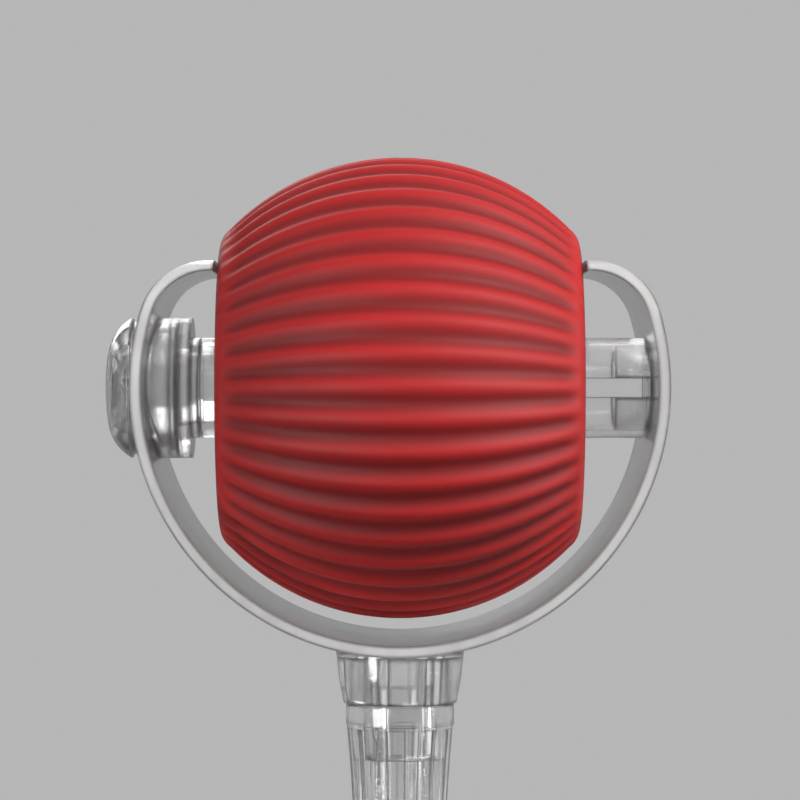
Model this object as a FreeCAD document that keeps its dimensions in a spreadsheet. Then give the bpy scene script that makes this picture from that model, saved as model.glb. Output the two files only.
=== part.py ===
import FreeCAD, Part
import math
import operator
import os
import Sketcher

# Self-rolling cat ball on a clear hand-held fork.
# Lengths in millimetres. X runs along the axle, Y from front to back, Z up.
# The origin is the middle of the handle's flat lower end. Whatever sits on the axle is drawn about
# the middle of the ball and lifted by axle_height.

os.makedirs("parts", exist_ok=True)
doc = FreeCAD.newDocument("cat_ball")
sheet = doc.addObject("Spreadsheet::Sheet", "Sizes")
Vec = FreeCAD.Vector


class Size:
    """A length together with the sheet formula that drives it."""

    def __init__(self, value, text=None):
        self.value = value
        self.text = text or "(%r)" % value

    def mixed(self, other, sign, work, swap):
        other = other if isinstance(other, Size) else Size(other)
        first, second = (other, self) if swap else (self, other)
        return Size(work(first.value, second.value), "(%s %s %s)" % (first.text, sign, second.text))

    def __add__(self, other):
        return self.mixed(other, "+", operator.add, False)

    def __radd__(self, other):
        return self.mixed(other, "+", operator.add, True)

    def __sub__(self, other):
        return self.mixed(other, "-", operator.sub, False)

    def __rsub__(self, other):
        return self.mixed(other, "-", operator.sub, True)

    def __mul__(self, other):
        return self.mixed(other, "*", operator.mul, False)

    def __rmul__(self, other):
        return self.mixed(other, "*", operator.mul, True)

    def __truediv__(self, other):
        return self.mixed(other, "/", operator.truediv, False)

    def __rtruediv__(self, other):
        return self.mixed(other, "/", operator.truediv, True)

    def __neg__(self):
        return Size(0.0) - self


def root(a):
    return Size(math.sqrt(a.value), "sqrt(%s)" % a.text)


def cosine(a):
    return Size(math.cos(math.radians(a.value)), "cos(%s)" % a.text)


def sine(a):
    return Size(math.sin(math.radians(a.value)), "sin(%s)" % a.text)


def arcsine(a):
    return Size(math.degrees(math.asin(a.value)), "asin(%s)" % a.text)


def as_size(a):
    return a if isinstance(a, Size) else Size(a)


def size(name, value):
    row = len(doc.Sizes.getUsedCells()) // 2 + 1
    sheet.set("A%d" % row, name)
    sheet.set("B%d" % row, repr(value))
    sheet.setAlias("B%d" % row, name)
    return Size(value, "Sizes.%s" % name)


def bind(item, prop, a):
    item.setExpression(prop, as_size(a).text)


def new_body(label):
    body = doc.addObject("PartDesign::Body", label)
    body.Label = label
    return body


def origin_part(body, role):
    return [f for f in body.Origin.OriginFeatures if f.Role == role][0]


def new_sketch(body, plane, out=0, up=0, along=0):
    """A sketch on one of the body's own planes, moved out along its normal, up and along it."""
    sketch = body.newObject("Sketcher::SketchObject", body.Name + "_sketch")
    sketch.AttachmentSupport = [(origin_part(body, plane), "")]
    sketch.MapMode = "FlatFace"
    for prop, a in (("AttachmentOffset.Base.z", out), ("AttachmentOffset.Base.y", up),
                    ("AttachmentOffset.Base.x", along)):
        if isinstance(a, Size) or a:
            bind(sketch, prop, a)
    return sketch


def place_point(sketch, edge, end, u, v):
    n = sketch.addConstraint(Sketcher.Constraint("DistanceX", -1, 1, edge, end, u.value))
    sketch.setExpression("Constraints[%d]" % n, u.text)
    n = sketch.addConstraint(Sketcher.Constraint("DistanceY", -1, 1, edge, end, v.value))
    sketch.setExpression("Constraints[%d]" % n, v.text)


def add_outline(sketch, path):
    """A closed outline. The path holds (u, v) points, and between two of them a single value makes
    an arc of that radius, which turns left where the value is above zero and right below it."""
    points = []
    bends = {}
    for item in path:
        if isinstance(item, tuple):
            points.append((as_size(item[0]), as_size(item[1])))
        else:
            bends[len(points) - 1] = as_size(item)
    first = sketch.GeometryCount
    starts = []
    count = len(points)
    for i in range(count):
        a = Vec(points[i][0].value, points[i][1].value, 0)
        b = Vec(points[(i + 1) % count][0].value, points[(i + 1) % count][1].value, 0)
        if i not in bends:
            sketch.addGeometry(Part.LineSegment(a, b), False)
            starts.append((1, 2))
            continue
        radius = abs(bends[i].value)
        left = bends[i].value > 0
        chord = b - a
        side = Vec(-chord.y, chord.x, 0).normalize() * (1 if left else -1)
        middle = (a + b) * 0.5
        reach = math.sqrt(max(radius ** 2 - (chord.Length / 2) ** 2, 0.0))
        centre = middle + side * reach
        circle = Part.Circle(centre, Vec(0, 0, 1), radius)
        one, two = (a, b) if left else (b, a)
        t1 = math.atan2(one.y - centre.y, one.x - centre.x)
        t2 = math.atan2(two.y - centre.y, two.x - centre.x)
        if t2 <= t1:
            t2 += 2 * math.pi
        sketch.addGeometry(Part.ArcOfCircle(circle, t1, t2), False)
        starts.append((1, 2) if left else (2, 1))
    for i in range(count):
        after = (i + 1) % count
        sketch.addConstraint(Sketcher.Constraint("Coincident", first + i, starts[i][1],
                                                 first + after, starts[after][0]))
    for i in range(count):
        place_point(sketch, first + i, starts[i][0], *points[i])
        if i in bends:
            bend = bends[i] if bends[i].value > 0 else -bends[i]
            n = sketch.addConstraint(Sketcher.Constraint("Radius", first + i, bend.value))
            sketch.setExpression("Constraints[%d]" % n, bend.text)


def add_circle(sketch, u, v, radius):
    u, v, radius = as_size(u), as_size(v), as_size(radius)
    n = sketch.addGeometry(Part.Circle(Vec(u.value, v.value, 0), Vec(0, 0, 1), radius.value), False)
    place_point(sketch, n, 3, u, v)
    r = sketch.addConstraint(Sketcher.Constraint("Radius", n, radius.value))
    sketch.setExpression("Constraints[%d]" % r, radius.text)


def box_path(u0, u1, v0, v1):
    return [(u0, v0), (u1, v0), (u1, v1), (u0, v1)]


def drawn(body, plane, path=None, circles=(), out=0, up=0, along=0):
    sketch = new_sketch(body, plane, out, up, along)
    if path:
        add_outline(sketch, path)
    for circle in circles:
        add_circle(sketch, *circle)
    return sketch


def solid_feature(body, kind, sketch, back=False, both=False):
    feature = body.newObject("PartDesign::" + kind, body.Name + "_" + kind.lower())
    feature.Profile = sketch
    feature.Reversed = back
    sketch.Visibility = False
    return feature


def pad(body, sketch, length, back=False, both=False, kind="Pad"):
    feature = solid_feature(body, kind, sketch, back)
    bind(feature, "Length", length)
    if both:
        feature.SideType = "Symmetric"
    body.Tip = feature
    return feature


def pocket(body, sketch, length, back=False, both=False):
    return pad(body, sketch, length, back, both, kind="Pocket")


def turn(body, sketch, axis="H_Axis", angle=360, both=False, kind="Revolution"):
    feature = solid_feature(body, kind, sketch)
    feature.ReferenceAxis = (sketch, [axis])
    bind(feature, "Angle", angle)
    feature.Midplane = both
    body.Tip = feature
    return feature


def groove(body, sketch, axis="H_Axis", angle=360, both=False):
    return turn(body, sketch, axis, angle, both, kind="Groove")


def around(body, features, count, axis="X_Axis"):
    """The features repeated evenly round one of the body's own axes."""
    pattern = body.newObject("PartDesign::PolarPattern", body.Name + "_ring")
    pattern.Originals = features
    pattern.Axis = (origin_part(body, axis), [""])
    pattern.Angle = 360
    if isinstance(count, Size):
        bind(pattern, "Occurrences", count)
    else:
        pattern.Occurrences = count
    body.Tip = pattern
    return pattern


def put(body, x=None, y=None, z=None):
    for prop, a in (("x", x), ("y", y), ("z", z)):
        if a is not None:
            bind(body, "Placement.Base." + prop, a)


def round_edges(body, radius, chosen):
    """A fillet on the edges of the body's last feature that the test picks."""
    doc.recompute()
    base = body.Tip
    names = ["Edge%d" % (i + 1) for i, edge in enumerate(base.Shape.Edges) if chosen(edge)]
    if not names:
        raise RuntimeError("no edge to round on " + body.Label)
    fillet = body.newObject("PartDesign::Fillet", body.Name + "_round")
    fillet.Base = (base, names)
    bind(fillet, "Radius", radius)
    body.Tip = fillet
    return fillet


def is_ring(edge, x, radius, slack=0.02):
    """Whether an edge is a circle about the axle at the given place."""
    if not isinstance(edge.Curve, Part.Circle):
        return False
    c = edge.Curve
    return (abs(c.Center.x - x) < slack and abs(c.Radius - radius) < slack
            and math.hypot(c.Center.y, c.Center.z) < slack)


# Clearances
running_gap = size("running_gap", 0.1)
seat_gap = size("seat_gap", 0.03)

# Ball
ball_radius = size("ball_radius", 40.0)
side_cut = size("side_cut", 8.93)
side_radius = size("side_radius", 25.88)
sleeve_wall = size("sleeve_wall", 2.6)
sleeve_edge = size("sleeve_edge", 1.6)
sleeve_lip = size("sleeve_lip", 1.45)
lip_width = size("lip_width", 3.28)
flute_count = size("flute_count", 45)
flute_depth = size("flute_depth", 0.9)
flute_half_width = size("flute_half_width", 1.85)
flute_stop = size("flute_stop", 2.0)
skin_gap = size("skin_gap", 0.05)
shell_wall = size("shell_wall", 1.8)
end_wall = size("end_wall", 1.8)
tongue_length = size("tongue_length", 7.0)
tongue_wall = size("tongue_wall", 1.4)
cover_thickness = size("cover_thickness", 1.3)
cover_gap = size("cover_gap", 0.2)
hub_wall = size("hub_wall", 1.45)
bush_wall = size("bush_wall", 1.4)
bush_flange = size("bush_flange", 0.6)
bush_length = size("bush_length", 4.7)
screw_margin = size("screw_margin", 2.6)
screw_ledge = size("screw_ledge", 2.4)
screw_angle = size("screw_angle", 30.0)

# Axle tube
tube_radius = size("tube_radius", 8.7)
tube_wall = size("tube_wall", 1.2)
tube_overhang = size("tube_overhang", 3.33)
tube_end_gap = size("tube_end_gap", 1.1)
socket_depth = size("socket_depth", 10.4)
web_thickness = size("web_thickness", 3.0)
web_gap = size("web_gap", 0.3)

# Fork
band_gap = size("band_gap", 3.4)
fork_wall = size("fork_wall", 2.0)
fork_depth = size("fork_depth", 47.0)
shoulder_radius = size("shoulder_radius", 11.8)
arm_top = size("arm_top", 21.7)
arm_corner = size("arm_corner", 11.0)
lip_gap = size("lip_gap", 0.6)
boss_gap = size("boss_gap", 4.93)
boss_step = size("boss_step", 0.7)
collar_wall = size("collar_wall", 1.0)
collar_stand = size("collar_stand", 0.6)
collar_length = size("collar_length", 2.2)
knob_bore_radius = size("knob_bore_radius", 10.5)
hub_gap = size("hub_gap", 0.3)
hub_floor = size("hub_floor", 3.4)
seat_ring_length = size("seat_ring_length", 6.4)
seat_ring_wall = size("seat_ring_wall", 1.1)

# Locking knob and plunger
spigot_radius = size("spigot_radius", 5.95)
spigot_cut = size("spigot_cut", 0.95)
spigot_reach = size("spigot_reach", 4.0)
spigot_release = size("spigot_release", 0.5)
plunger_radius = size("plunger_radius", 8.0)
plunger_length = size("plunger_length", 4.9)
lug_radius = size("lug_radius", 1.0)
rim_overhang = size("rim_overhang", 0.7)
knob_height = size("knob_height", 5.1)
knob_roof = size("knob_roof", 1.5)
knob_crown = size("knob_crown", 0.6)
knob_shoulder = size("knob_shoulder", 7.5)

# Handle
neck_top_radius = size("neck_top_radius", 11.35)
neck_bend_radius = size("neck_bend_radius", 10.65)
neck_foot_radius = size("neck_foot_radius", 9.85)
neck_length = size("neck_length", 9.2)
neck_bend = size("neck_bend", 4.2)
neck_wall = size("neck_wall", 1.05)
neck_roof = size("neck_roof", 1.0)
neck_rib_turn = size("neck_rib_turn", 22.0)
neck_cell_angle = size("neck_cell_angle", 42.0)
plug_radius = size("plug_radius", 6.25)
plug_rise = size("plug_rise", 3.8)
plug_depth = size("plug_depth", 9.4)
rim_radius = size("rim_radius", 9.4)
rim_length = size("rim_length", 3.8)
waist_radius = size("waist_radius", 7.8)
waist_length = size("waist_length", 29.6)
belly_radius = size("belly_radius", 10.0)
belly_length = size("belly_length", 47.0)
cap_seat_radius = size("cap_seat_radius", 8.95)
tail_length = size("tail_length", 23.0)
cap_length = size("cap_length", 14.0)
panel_count = size("panel_count", 10)
panel_depth = size("panel_depth", 0.7)
panel_angle = size("panel_angle", 20.6)
grip_turn = size("grip_turn", 13.1)
grip_bore_radius = size("grip_bore_radius", 5.0)
cap_plug_length = size("cap_plug_length", 8.0)
end_face_radius = size("end_face_radius", 5.6)
hang_hole_radius = size("hang_hole_radius", 2.5)
hang_hole_height = size("hang_hole_height", 8.0)

# Drive
gear_module = size("gear_module", 0.8)
axle_teeth = size("axle_teeth", 36)
pinion_teeth = size("pinion_teeth", 14)
backlash = size("backlash", 0.16)
gear_stand = size("gear_stand", 2.9)
gear_width = size("gear_width", 4.5)
thrust_gap = size("thrust_gap", 0.2)
plate_gap = size("plate_gap", 0.6)
plate_thickness = size("plate_thickness", 2.0)
plate_edge_gap = size("plate_edge_gap", 1.0)
post_radius = size("post_radius", 2.8)
pin_radius = size("pin_radius", 1.8)
board_stand = size("board_stand", 3.2)
board_thickness = size("board_thickness", 1.6)
board_edge_gap = size("board_edge_gap", 1.15)
board_hole_gap = size("board_hole_gap", 0.32)
motor_radius = size("motor_radius", 8.0)
gearbox_length = size("gearbox_length", 10.2)
motor_length = size("motor_length", 13.5)
shaft_radius = size("shaft_radius", 1.25)
weight_gap = size("weight_gap", 1.1)
weight_side_gap = size("weight_side_gap", 2.5)
weight_edge_gap = size("weight_edge_gap", 2.5)
weight_spread = size("weight_spread", 110.0)
weight_hub_wall = size("weight_hub_wall", 2.8)
battery_length = size("battery_length", 22.0)
battery_width = size("battery_width", 24.0)
battery_height = size("battery_height", 8.0)
battery_drop = size("battery_drop", 4.3)
battery_gap = size("battery_gap", 2.4)
tray_wall = size("tray_wall", 1.3)

# Switch, charging port and lamp
port_width = size("port_width", 9.0)
port_height = size("port_height", 3.2)
port_shift = size("port_shift", 0.44)
button_gap = size("button_gap", 0.26)
button_flange = size("button_flange", 0.5)
button_travel = size("button_travel", 0.45)
lens_radius = size("lens_radius", 1.0)

# Screws
screw_radius = size("screw_radius", 1.1)
screw_head_radius = size("screw_head_radius", 2.0)
screw_head = size("screw_head", 0.7)
small_screw_radius = size("small_screw_radius", 0.8)
small_head_radius = size("small_head_radius", 1.4)
small_head = size("small_head", 0.8)
doc.recompute()

# Places that several pieces share
ball_half_width = ball_radius - side_cut
barrel_rise = ball_radius - side_radius
barrel_arc = (barrel_rise * barrel_rise + ball_half_width * ball_half_width) / (2 * barrel_rise)
barrel_drop = barrel_arc - ball_radius
lip_radius = side_radius - lip_width
shell_end = ball_half_width - sleeve_lip - skin_gap
cover_face = shell_end + cover_thickness
post_left = shell_end - end_wall
board_face = post_left - board_stand
screw_circle = lip_radius - screw_margin
screw_spot = (screw_circle * cosine(screw_angle), screw_circle * sine(screw_angle))
end_hole_radius = screw_circle - screw_ledge
centre_distance = gear_module * (axle_teeth + pinion_teeth) / 2
tube_bore = tube_radius - tube_wall
spigot_bore = spigot_radius + running_gap
spigot_flat = spigot_radius - spigot_cut
bush_bore = tube_radius + running_gap
bush_radius = bush_bore + bush_wall
hub_bore = bush_radius + seat_gap
hub_radius = hub_bore + hub_wall
bush_inner = cover_face - bush_length
hub_end = bush_inner + bush_flange
band_in = ball_radius + band_gap
fork_radius = band_in + fork_wall
tube_left = ball_half_width + tube_overhang
tube_right = band_in - tube_end_gap
neck_foot = fork_radius + neck_length
plug_foot = neck_foot + plug_depth
rim_foot = neck_foot + rim_length
waist_drop = rim_foot + waist_length
belly_drop = waist_drop + belly_length
cap_seat_drop = belly_drop + tail_length
axle_height = cap_seat_drop + cap_length


def barrel(x, inset):
    """Radius at x of the ball's barrel profile, moved inwards by the inset."""
    arc = barrel_arc - inset
    return root(arc * arc - x * x) - barrel_drop


belt_x = ball_half_width * 0.25
mid_x = ball_half_width * 0.6
far_x = ball_half_width * 0.88


# Silicone sleeve: the barrel skin that grips the floor, with a lip folded over each end
ribbed_sleeve = new_body("ribbed_sleeve")
edge_r = barrel(ball_half_width, 0)
lip_in = ball_half_width - sleeve_lip
sleeve_path = [(-ball_half_width, lip_radius), (-ball_half_width, edge_r), -barrel_arc,
               (ball_half_width, edge_r), (ball_half_width, lip_radius), (lip_in, lip_radius),
               (lip_in, barrel(lip_in, sleeve_wall)), (far_x, barrel(far_x, sleeve_wall)),
               (mid_x, barrel(mid_x, sleeve_wall)), (belt_x, barrel(belt_x, sleeve_wall)),
               (-belt_x, barrel(belt_x, sleeve_wall)), (-mid_x, barrel(mid_x, sleeve_wall)),
               (-far_x, barrel(far_x, sleeve_wall)), (-lip_in, barrel(lip_in, sleeve_wall)),
               (-lip_in, lip_radius)]
turn(ribbed_sleeve, drawn(ribbed_sleeve, "XZ_Plane", sleeve_path))
round_edges(ribbed_sleeve, sleeve_edge,
            lambda e: is_ring(e, ball_half_width.value, edge_r.value)
            or is_ring(e, -ball_half_width.value, edge_r.value))
flute_over = Size(0.3)
flute_rise = barrel_arc + flute_over
flute_flare = flute_half_width * (flute_depth + flute_over) / flute_depth
flute_run = 2 * arcsine((ball_half_width - flute_stop) / barrel_arc)
flute = groove(ribbed_sleeve,
               drawn(ribbed_sleeve, "YZ_Plane", up=-barrel_drop,
                     path=[(0.0, barrel_arc - flute_depth), (flute_flare, flute_rise),
                           (-flute_flare, flute_rise)]),
               angle=flute_run, both=True)
around(ribbed_sleeve, [flute], flute_count)
quarter_pitch = 90 / flute_count
ribbed_sleeve.Placement = FreeCAD.Placement(Vec(0, 0, 0), FreeCAD.Rotation(Vec(1, 0, 0), -2))
bind(ribbed_sleeve, "Placement.Rotation.Angle", -quarter_pitch)
put(ribbed_sleeve, z=axle_height)

# Ball shell: two moulded cups that meet at the belt, the left one with a tongue inside the right
core = sleeve_wall + skin_gap
inner = core + shell_wall
tongue_out = barrel(belt_x, inner) - running_gap
tongue_in = tongue_out - tongue_wall
screw_plane = tongue_length / 2


def cup_outside(side):
    return [(side * belt_x, barrel(belt_x, core)), (side * mid_x, barrel(mid_x, core)),
            (side * far_x, barrel(far_x, core)), (side * shell_end, barrel(shell_end, core)),
            (side * shell_end, end_hole_radius), (side * post_left, end_hole_radius),
            (side * post_left, barrel(post_left, inner)), (side * mid_x, barrel(mid_x, inner)),
            (side * belt_x, barrel(belt_x, inner))]


def end_screw_holes(body, side):
    """Three clearance holes for the cover screws through the cup's end wall."""
    sketch = drawn(body, "YZ_Plane", out=side * (shell_end + 1),
                   circles=[screw_spot + (screw_radius + running_gap,)])
    hole = pocket(body, sketch, end_wall + 2, back=side > 0)
    hole.Reversed = side < 0
    around(body, [hole], 3)


left_shell = new_body("left_shell")
left_path = ([(0.0, barrel(belt_x, core))] + cup_outside(-1)
             + [(-tongue_wall * 3, barrel(belt_x, inner)), (-tongue_wall * 2, tongue_in),
                (tongue_length, tongue_in), (tongue_length, tongue_out), (0.0, tongue_out)])
turn(left_shell, drawn(left_shell, "XZ_Plane", left_path))
boss = pad(left_shell, drawn(left_shell, "XY_Plane", out=-(tongue_in - 1.6),
                             circles=[(screw_plane, 0.0, 2.3)]), Size(1.9), back=True)
pilot = pocket(left_shell, drawn(left_shell, "XY_Plane", out=-(tongue_in - 1.7),
                                 circles=[(screw_plane, 0.0, small_screw_radius + seat_gap)]),
               tongue_wall + 3.1)
around(left_shell, [boss, pilot], 3)
end_screw_holes(left_shell, -1)
put(left_shell, z=axle_height)

right_shell = new_body("right_shell")
right_path = [(0.0, barrel(belt_x, core))] + cup_outside(1) + [(0.0, barrel(belt_x, inner))]
turn(right_shell, drawn(right_shell, "XZ_Plane", right_path))
sunk = pocket(right_shell, drawn(right_shell, "XY_Plane", out=-(barrel(belt_x, core) - small_head),
                                 circles=[(screw_plane, 0.0, small_head_radius + 0.1)]),
              Size(3.0))
passage = pocket(right_shell, drawn(right_shell, "XY_Plane", out=-tongue_in,
                                    circles=[(screw_plane, 0.0, small_screw_radius + 0.1)]),
                 shell_wall + tongue_wall + 1.8)
around(right_shell, [sunk, passage], 3)
cover_boss = pad(right_shell, drawn(right_shell, "YZ_Plane", out=post_left + 0.1,
                                    circles=[screw_spot + (2.3,)]),
                 board_stand + 0.9, back=True)
around(right_shell, [cover_boss], 3)
boss_hole = pocket(right_shell, drawn(right_shell, "YZ_Plane", out=shell_end + 0.5,
                                      circles=[screw_spot + (screw_radius + seat_gap,)]),
                   end_wall + board_stand + 1.0)
around(right_shell, [boss_hole], 3)
put(right_shell, z=axle_height)

# Belt screws: three countersunk screws under the sleeve that hold the two cups together
belt_screws = new_body("belt_screws")
belt_top = barrel(belt_x, core) - 0.1
head = pad(belt_screws, drawn(belt_screws, "XY_Plane", out=-(belt_top - small_head + 0.1),
                              circles=[(screw_plane, 0.0, small_head_radius)]), small_head - 0.1,
           back=True)
shank = pad(belt_screws, drawn(belt_screws, "XY_Plane", out=-(tongue_in - 1.5),
                               circles=[(screw_plane, 0.0, small_screw_radius)]),
            belt_top - small_head + 0.2 - (tongue_in - 1.5), back=True)
around(belt_screws, [head, shank], 3)
put(belt_screws, z=axle_height)

# End covers: discs that close the cups round the axle, each with a hub for its bush


def end_cover(label, side):
    body = new_body(label)
    path = [(side * cover_face, hub_bore), (side * cover_face, lip_radius - cover_gap),
            (side * shell_end, lip_radius - cover_gap), (side * shell_end, hub_radius),
            (side * hub_end, hub_radius), (side * hub_end, hub_bore)]
    turn(body, drawn(body, "XZ_Plane", path))
    sink = pocket(body, drawn(body, "YZ_Plane", out=side * (cover_face - screw_head - 0.1),
                              circles=[screw_spot + (screw_head_radius + 0.1,)]), Size(2.0))
    sink.Reversed = side > 0
    hole = pocket(body, drawn(body, "YZ_Plane", out=side * (shell_end - 0.5),
                              circles=[screw_spot + (screw_radius + 0.1,)]), Size(3.0))
    hole.Reversed = side > 0
    around(body, [sink, hole], 3)
    put(body, z=axle_height)
    return body


def end_screws(label, side):
    """Three pan screws through a cover, drawn with a cross slot in the head."""
    body = new_body(label)
    under = cover_face - screw_head - 0.1
    top = pad(body, drawn(body, "YZ_Plane", out=side * under, circles=[screw_spot + (screw_head_radius,)]),
              screw_head, back=side < 0)
    stem = pad(body, drawn(body, "YZ_Plane", out=side * (board_face - 0.4),
                           circles=[screw_spot + (screw_radius,)]),
               under - board_face + 0.5, back=side < 0)
    slot = pocket(body, drawn(body, "YZ_Plane", out=side * (cover_face - 0.4),
                              path=box_path(screw_spot[0] - 1.3, screw_spot[0] + 1.3,
                                            screw_spot[1] - 0.25, screw_spot[1] + 0.25)), Size(1.0))
    slot.Reversed = side > 0
    around(body, [top, stem, slot], 3)
    put(body, z=axle_height)
    return body


control_room = end_hole_radius - hub_radius
control_y = hub_radius + control_room / 2
button_y = control_y
button_radius = control_room / 2 - button_flange - button_gap
port_y = control_y - port_shift
left_end_cover = end_cover("left_end_cover", -1)
port_slot = pocket(left_end_cover,
                   drawn(left_end_cover, "YZ_Plane", out=-(cover_face + 1),
                         path=box_path(-(port_y + port_height / 2 + 0.3),
                                       -(port_y - port_height / 2 - 0.3),
                                       -(port_width / 2 + 0.3), port_width / 2 + 0.3)),
                   cover_thickness + 2)
port_slot.Reversed = True
button_hole = pocket(left_end_cover,
                     drawn(left_end_cover, "YZ_Plane", out=-(cover_face + 1),
                           circles=[(button_y, 0.0, button_radius + running_gap)]),
                     cover_thickness + 2)
button_hole.Reversed = True
lens_y = button_y * cosine(screw_angle)
lens_z = -(button_y * sine(screw_angle))
lens_hole = pocket(left_end_cover,
                   drawn(left_end_cover, "YZ_Plane", out=-(cover_face + 1),
                         circles=[(lens_y, lens_z, lens_radius + seat_gap)]),
                   cover_thickness + 2)
lens_hole.Reversed = True
right_end_cover = end_cover("right_end_cover", 1)
left_cover_screws = end_screws("left_cover_screws", -1)
right_cover_screws = end_screws("right_cover_screws", 1)

# Bushes: flanged plain bearings that turn on the axle tube


def bush(label, side):
    body = new_body(label)
    path = [(side * cover_face, bush_bore), (side * cover_face, bush_radius),
            (side * hub_end, bush_radius), (side * hub_end, hub_radius - 0.5),
            (side * bush_inner, hub_radius - 0.5), (side * bush_inner, bush_bore)]
    turn(body, drawn(body, "XZ_Plane", path))
    put(body, z=axle_height)
    return body


left_bush = bush("left_bush", -1)
right_bush = bush("right_bush", 1)

# Axle tube: clear tube through the ball, with a socket for the plunger and a web that keys it
axle_tube = new_body("axle_tube")
turn(axle_tube, drawn(axle_tube, "XZ_Plane", [
    (-tube_left, spigot_bore), (-tube_left, tube_radius), (tube_right, tube_radius),
    (tube_right, tube_bore), (-(tube_left - socket_depth), tube_bore),
    (-(tube_left - socket_depth), spigot_bore)]))
web_end = root(band_in * band_in - web_thickness * web_thickness) - web_gap
pad(axle_tube, drawn(axle_tube, "YZ_Plane", out=-(tube_left - socket_depth - 4),
                     path=box_path(-(tube_bore + 0.1), tube_bore + 0.1,
                                   -web_thickness / 2, web_thickness / 2)),
    web_end + (tube_left - socket_depth - 4))
put(axle_tube, z=axle_height)

# Fork: one clear moulding, a band bent round the ball with a boss in each arm and a neck below
fork = new_body("fork")
shoulder_z = arm_top - shoulder_radius
shoulder_far = fork_radius - shoulder_radius
shoulder_x = root(shoulder_far * shoulder_far - shoulder_z * shoulder_z)
shoulder_in = shoulder_radius - fork_wall
lip_x = ball_half_width + lip_gap
out_x = shoulder_x * fork_radius / shoulder_far
out_z = shoulder_z * fork_radius / shoulder_far
in_x = shoulder_x * band_in / shoulder_far
in_z = shoulder_z * band_in / shoulder_far
tip_out = shoulder_z + root(shoulder_radius * shoulder_radius - (lip_x - shoulder_x) * (lip_x - shoulder_x))
tip_in = shoulder_z + root(shoulder_in * shoulder_in - (lip_x - shoulder_x) * (lip_x - shoulder_x))
pad(fork, drawn(fork, "XZ_Plane", [
    (lip_x, tip_out), -shoulder_radius, (out_x, out_z), -fork_radius, (0.0, -fork_radius),
    -fork_radius, (-out_x, out_z), -shoulder_radius, (-lip_x, tip_out), (-lip_x, tip_in),
    shoulder_in, (-in_x, in_z), band_in, (0.0, -band_in), band_in, (in_x, in_z), shoulder_in,
    (lip_x, tip_in)]), fork_depth, both=True)
half_depth = fork_depth / 2
clear_z = arm_top + 2
clear_y = half_depth + 2
for side in (1, -1):
    corner = drawn(fork, "YZ_Plane", [
        (side * half_depth, arm_top - arm_corner), side * arm_corner,
        (side * (half_depth - arm_corner), arm_top), (side * (half_depth - arm_corner), clear_z),
        (side * clear_y, clear_z), (side * clear_y, arm_top - arm_corner)])
    pocket(fork, corner, fork_radius * 2 + 4, both=True)
hub_face = tube_left + hub_gap
knob_bore_end = hub_face + hub_floor
boss_face = ball_half_width + boss_gap
collar_face = fork_radius + collar_stand
collar_radius = knob_bore_radius + collar_wall
boss_radius = collar_radius + boss_step
turn(fork, drawn(fork, "XZ_Plane", [
    (-collar_face, 0.0), (-collar_face, collar_radius), (-(collar_face - collar_length), collar_radius),
    (-(collar_face - collar_length), boss_radius), (-boss_face, boss_radius), (-boss_face, tube_radius),
    (-hub_face, tube_radius), (-hub_face, 0.0)]))
bead_far = knob_bore_end + 1.6
bead_near = knob_bore_end + 0.4
groove(fork, drawn(fork, "XZ_Plane", [
    (-(collar_face + 1), 0.0), (-(collar_face + 1), knob_bore_radius), (-bead_far, knob_bore_radius),
    (-bead_far, knob_bore_radius + 0.4), (-bead_near, knob_bore_radius + 0.4),
    (-bead_near, knob_bore_radius), (-knob_bore_end, knob_bore_radius), (-knob_bore_end, 0.0)]))
flat = spigot_flat + 0.05
flat_y = root(spigot_bore * spigot_bore - flat * flat)
keyed = pocket(fork, drawn(fork, "YZ_Plane", out=-(hub_face - 1), path=[
    (-flat_y, -flat), (flat_y, -flat), spigot_bore, (flat_y, flat), (-flat_y, flat), spigot_bore]),
    knob_bore_end - hub_face + 3)
ring_out = tube_bore - running_gap
ring_in = ring_out - seat_ring_wall
seat_ring_face = band_in - seat_ring_length
turn(fork, drawn(fork, "XZ_Plane", box_path(seat_ring_face, band_in + 0.6, ring_in, ring_out)))
pocket(fork, drawn(fork, "XZ_Plane", box_path(seat_ring_face - 1, web_end + 0.15,
                                              -(web_thickness / 2 + 0.15), web_thickness / 2 + 0.15)),
       tube_radius * 2, both=True)
neck_head = band_in + 0.2
turn(fork, drawn(fork, "XZ_Plane", [
    (0.0, -neck_head), (0.0, -neck_foot), (neck_foot_radius, -neck_foot),
    (neck_bend_radius, -(neck_foot - neck_bend)), (neck_top_radius, -neck_head)]), axis="V_Axis")
neck_top = fork_radius + neck_roof
groove(fork, drawn(fork, "XZ_Plane", box_path(0.0, plug_radius + seat_gap, -(neck_foot + 1),
                                              -neck_top)), axis="V_Axis")
cell_outline = drawn(fork, "XZ_Plane", box_path(plug_radius - 0.2, neck_foot_radius - neck_wall,
                                                -(neck_foot + 1), -neck_top))
cell_outline.AttachmentOffset = FreeCAD.Placement(Vec(0, 0, 0), FreeCAD.Rotation(Vec(0, 1, 0), -22))
bind(cell_outline, "AttachmentOffset.Rotation.Angle", -neck_rib_turn)
cell = groove(fork, cell_outline, axis="V_Axis", angle=neck_cell_angle, both=True)
around(fork, [cell], 6, axis="Z_Axis")
put(fork, z=axle_height)

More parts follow.
